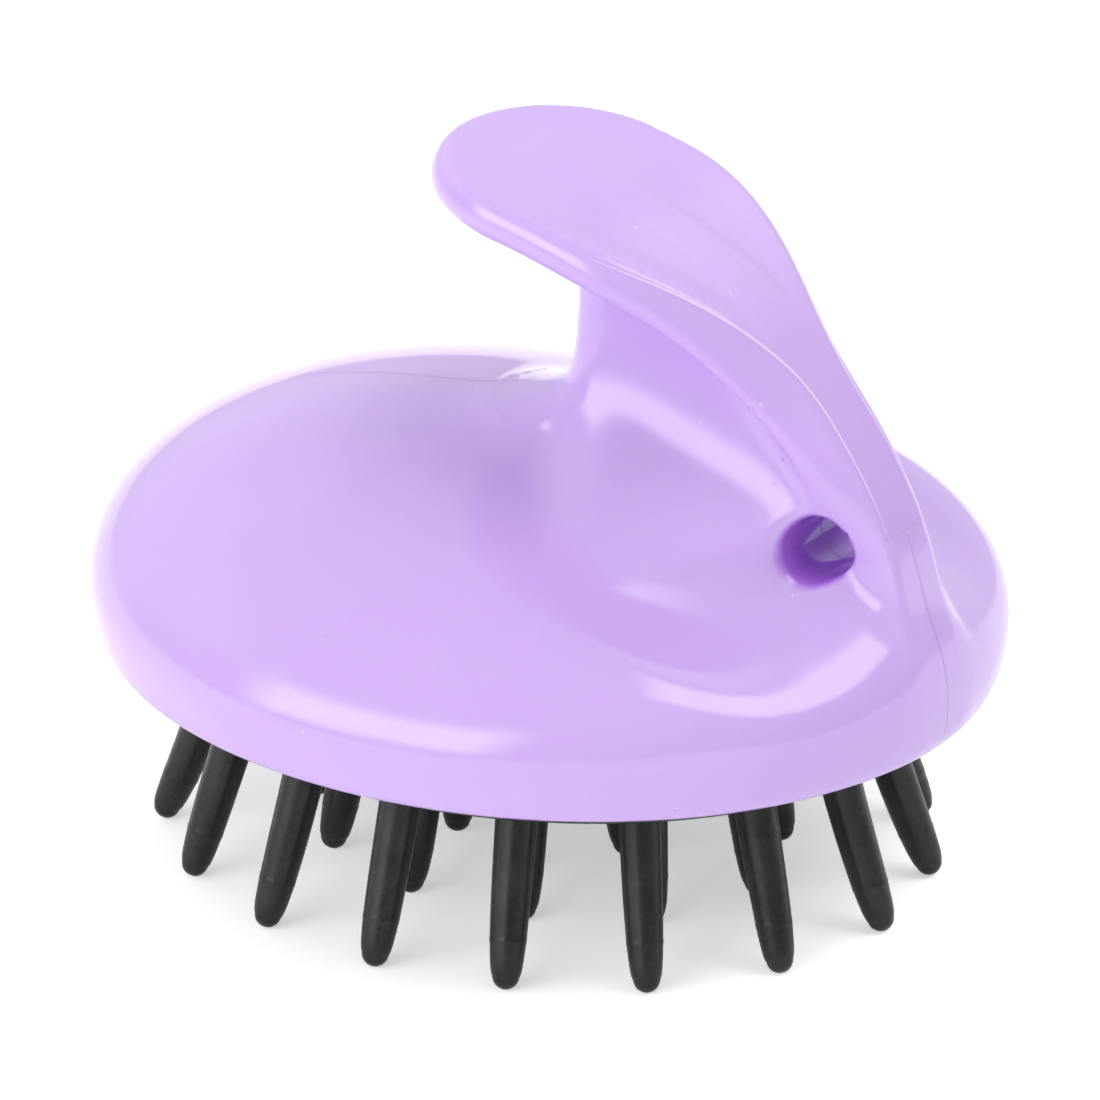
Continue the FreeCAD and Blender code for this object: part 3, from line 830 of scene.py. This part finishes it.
def lilac_plastic():
    """Glossy moulded plastic: cloudy lilac, faint ripples, hairline scratches, a few specks and painted shade
    inside the hanging hole.
    """
    material, tree, shader, place = start_material("lilac_plastic")
    cloud = remap(tree, noise(tree, place, 45.0), 0.3, 0.7, 0.0, 1.0)
    colour = blend(tree, cloud, (0.494, 0.342, 0.697, 1), (0.518, 0.362, 0.720, 1))
    scratch = hairlines(tree, place, (1.0, 14.0, 6.0), 90.0)
    specks = remap(tree, noise(tree, place, 1500.0, 0.0), 0.89, 0.91, 0.0, 0.5)
    colour = blend(tree, specks, colour, (0.74, 0.62, 0.93, 1))
    # Painted shade: the wall of the hanging hole is painted a deep purple for the shade inside it.
    colour = blend(tree, painted_hole_shade(tree, place), colour, (0.35, 0.13, 0.63, 1))
    smear = remap(tree, noise(tree, place, 120.0, 4.0), 0.35, 0.75, 0.05, 0.11)
    rough = add_node(tree, "Math", {"operation": "MULTIPLY_ADD"})
    tree.links.new(scratch, rough.inputs[0])
    rough.inputs[1].default_value = 0.12
    tree.links.new(smear, rough.inputs[2])
    ripple = add_node(tree, "Bump", Strength=0.10, Distance=0.0002, Height=noise(tree, place, 160.0, 1.0))
    rippled = ripple.outputs["Normal"]
    lines = add_node(tree, "Bump", Strength=0.06, Distance=0.00005, Height=scratch, Normal=rippled)
    set_shader(tree, shader, Base_Color=colour, Roughness=rough.outputs[0], Normal=lines.outputs["Normal"])
    cloudiness = 0.25
    set_shader(
        tree, shader, Subsurface_Weight=cloudiness, Subsurface_Radius=(1.0, 0.7, 1.3), Subsurface_Scale=0.002,
        IOR=PLASTIC_IOR)
    return material


def black_rubber():
    """Satin rubber with a mottled dusty bloom and rubbed patches."""
    material, tree, shader, place = start_material("black_rubber")
    bloom = remap(tree, noise(tree, place, 260.0, 6.0), 0.42, 0.75, 0.0, 1.0)
    dust = remap(tree, noise(tree, place, 2200.0, 6.0), 0.52, 0.80, 0.0, 0.16)
    colour = blend(tree, bloom, (0.005, 0.005, 0.006, 1), (0.016, 0.016, 0.018, 1))
    colour = blend(tree, dust, colour, (0.07, 0.07, 0.072, 1))
    rough = remap(tree, noise(tree, place, 700.0, 4.0), 0.3, 0.7, 0.27, 0.42)
    grain = add_node(tree, "Bump", Strength=0.20, Distance=0.00006, Height=noise(tree, place, 1500.0, 5.0))
    scuff = add_node(
        tree, "Bump", Strength=0.25, Distance=0.0002, Height=noise(tree, place, 420.0, 4.0),
        Normal=grain.outputs["Normal"])
    set_shader(tree, shader, Base_Color=colour, Roughness=rough, Normal=scuff.outputs["Normal"])
    set_shader(tree, shader, Specular_IOR_Level=0.4)
    return material


def grey_plastic():
    """Matte grey moulding with a fine spark-eroded grain."""
    material, tree, shader, place = start_material("grey_plastic")
    cloud = noise(tree, place, 80.0)
    colour = blend(tree, cloud, (0.07, 0.07, 0.075, 1), (0.10, 0.10, 0.105, 1))
    rough = remap(tree, noise(tree, place, 500.0), 0.3, 0.7, 0.55, 0.72)
    grain = add_node(tree, "Bump", Strength=0.3, Distance=0.00005, Height=noise(tree, place, 2200.0, 4.0))
    set_shader(tree, shader, Base_Color=colour, Roughness=rough, Normal=grain.outputs["Normal"])
    return material


def pale_floor():
    """A plain white light table, lit a little from below."""
    material, tree, shader, place = start_material("pale_floor")
    colour = blend(tree, noise(tree, place, 12.0), (0.90, 0.90, 0.90, 1), (0.93, 0.93, 0.93, 1))
    seen = add_node(tree, "LightPath").outputs["Is Camera Ray"]
    strength = remap(tree, seen, 0.0, 1.0, TABLE_GLOW, TABLE_SEEN)
    set_shader(tree, shader, Base_Color=colour, Roughness=0.85)
    set_shader(tree, shader, Emission_Color=(1, 1, 1, 1), Emission_Strength=strength)
    return material


# ---------------------------------------------------------------- build


def dress(piece, material, replaced=None):
    """Give a piece its material and tie it to the comb's one body."""
    piece.data.materials.append(material)
    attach(piece, "root")
    if replaced:
        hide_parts(replaced)


lilac = lilac_plastic()
dress(build_shell(), lilac, "handle_shell")
for line in build_mould_lines():
    dress(line, lilac)
# The strap's edge lines get a lighter colour: painted light for the light line along the crease.
painted_light_lines_material = painted_light_plastic()
for line in build_edge_lines():
    dress(line, painted_light_lines_material)
dress(build_pad(), black_rubber(), "finger_pad")
plate = frame["nodes"]["carrier_plate"]
plate.data.materials.clear()
plate.data.materials.append(grey_plastic())

# ---------------------------------------------------------------- stage, light and camera

floor_mesh = bpy.data.meshes.new("floor")
floor_mesh.from_pydata([(-2, -2, 0), (2, -2, 0), (2, 2, 0), (-2, 2, 0)], [], [(0, 1, 2, 3)])
floor = bpy.data.objects.new("floor", floor_mesh)
bpy.context.scene.collection.objects.link(floor)
floor.data.materials.append(pale_floor())

CENTRE = Vector((0, 0, RIM * MM))
ROOM_LOW = 0.35
ROOM_HIGH = 0.63
LAMP_SIZE = 0.5
LAMP_POWER = 0.8
LAMP_DISTANCE = 0.7
LAMP_AZIMUTH = 25
LAMP_ELEVATION = 68

# Each softbox: azimuth, elevation, half width, half height and soft edge in degrees, and brightness.
PANELS = (
    (-108, 22, 27, 14, 14, 4.0),
    (28, 62, 15, 14, 10, 3.8),
    (86, 50, 14, 12, 12, 0.8),
    (130, 25, 60, 30, 30, 0.52),
)


def direction(azimuth, elevation):
    """A unit direction; azimuth 0 points towards -Y and 90 towards +X."""
    turn, lift = math.radians(azimuth), math.radians(elevation)
    return Vector((math.sin(turn) * math.cos(lift), -math.cos(turn) * math.cos(lift), math.sin(lift)))


def combine(tree, operation, first, second):
    """One step of arithmetic in a node tree."""
    made = add_node(tree, "Math", {"operation": operation})
    for socket, value in zip(made.inputs, (first, second)):
        if isinstance(value, bpy.types.NodeSocket):
            tree.links.new(value, socket)
        else:
            socket.default_value = value
    return made.outputs[0]


def glow(tree, sight, azimuth, elevation, half_width, half_height, feather, brightness):
    """A softbox painted on the room: a soft-edged rectangle of light, its size in degrees."""
    axes = (direction(azimuth + 90, 0), direction(azimuth, elevation + 90), direction(azimuth, elevation))
    reach = []
    for axis in axes:
        made = add_node(tree, "VectorMath", {"operation": "DOT_PRODUCT"})
        tree.links.new(sight, made.inputs[0])
        made.inputs[1].default_value = axis
        reach.append(made.outputs["Value"])
    shape = remap(tree, reach[2], 0.0, 0.2, 0.0, brightness)
    for side, half in ((reach[0], half_width), (reach[1], half_height)):
        inner = math.sin(math.radians(half - feather / 2))
        outer = math.sin(math.radians(half + feather / 2))
        made = add_node(tree, "MapRange", {"interpolation_type": "SMOOTHSTEP"})
        tree.links.new(combine(tree, "ABSOLUTE", side, 0.0), made.inputs["Value"])
        for name, number in (("From Min", inner), ("From Max", outer), ("To Min", 1.0), ("To Max", 0.0)):
            made.inputs[name].default_value = number
        shape = combine(tree, "MULTIPLY", shape, made.outputs["Result"])
    return shape


def add_room():
    """A white room lit by soft-edged panels; the camera itself sees only plain white."""
    world = bpy.data.worlds.new("studio")
    bpy.context.scene.world = world
    world.use_nodes = True
    tree = world.node_tree
    sight = add_node(tree, "TexCoord").outputs["Generated"]
    upward = add_node(tree, "SeparateXYZ", Vector=sight).outputs["Z"]
    light = remap(tree, upward, 0.0, 0.8, ROOM_LOW, ROOM_HIGH)
    for panel in PANELS:
        light = combine(tree, "ADD", light, glow(tree, sight, *panel))
    seen = add_node(tree, "LightPath").outputs["Is Camera Ray"]
    light = add_node(tree, "Mix", {"data_type": "FLOAT"}, Factor=seen, A=light, B=1.0).outputs[0]
    background = tree.nodes["Background"]
    background.inputs["Color"].default_value = (1, 1, 1, 1)
    tree.links.new(light, background.inputs["Strength"])


def add_lamp():
    """A broad lamp overhead that gives the comb its soft shadow."""
    data = bpy.data.lights.new("top_lamp", "AREA")
    data.size = LAMP_SIZE
    data.energy = LAMP_POWER
    lamp = bpy.data.objects.new("top_lamp", data)
    towards = direction(LAMP_AZIMUTH, LAMP_ELEVATION)
    lamp.location = CENTRE + towards * LAMP_DISTANCE
    lamp.rotation_euler = towards.to_track_quat("Z", "Y").to_euler()
    lamp.visible_glossy = False
    bpy.context.scene.collection.objects.link(lamp)


add_room()
add_lamp()
bpy.context.scene.view_settings.view_transform = "Standard"

CAMERA_AZIMUTH = -55.28
CAMERA_ELEVATION = 24.83
CAMERA_DISTANCE = 1.139
CAMERA_AIM_UP = 0.00867
CAMERA_AIM_RIGHT = 0.00019
SENSOR = 36.0
LENS = 384.513


def add_camera():
    """A long lens from the back left, level with a shelf, aimed a little above the rim."""
    towards = direction(CAMERA_AZIMUTH, CAMERA_ELEVATION)
    right = direction(CAMERA_AZIMUTH + 90, 0)
    up = towards.cross(right)
    aim = CENTRE + up * CAMERA_AIM_UP + right * CAMERA_AIM_RIGHT
    data = bpy.data.cameras.new("camera")
    data.sensor_width = SENSOR
    data.lens = LENS
    camera = bpy.data.objects.new("camera", data)
    camera.location = CENTRE + towards * CAMERA_DISTANCE
    camera.rotation_euler = (aim - camera.location).to_track_quat("-Z", "Y").to_euler()
    data.clip_end = 10
    bpy.context.scene.collection.objects.link(camera)
    bpy.context.scene.camera = camera


add_camera()
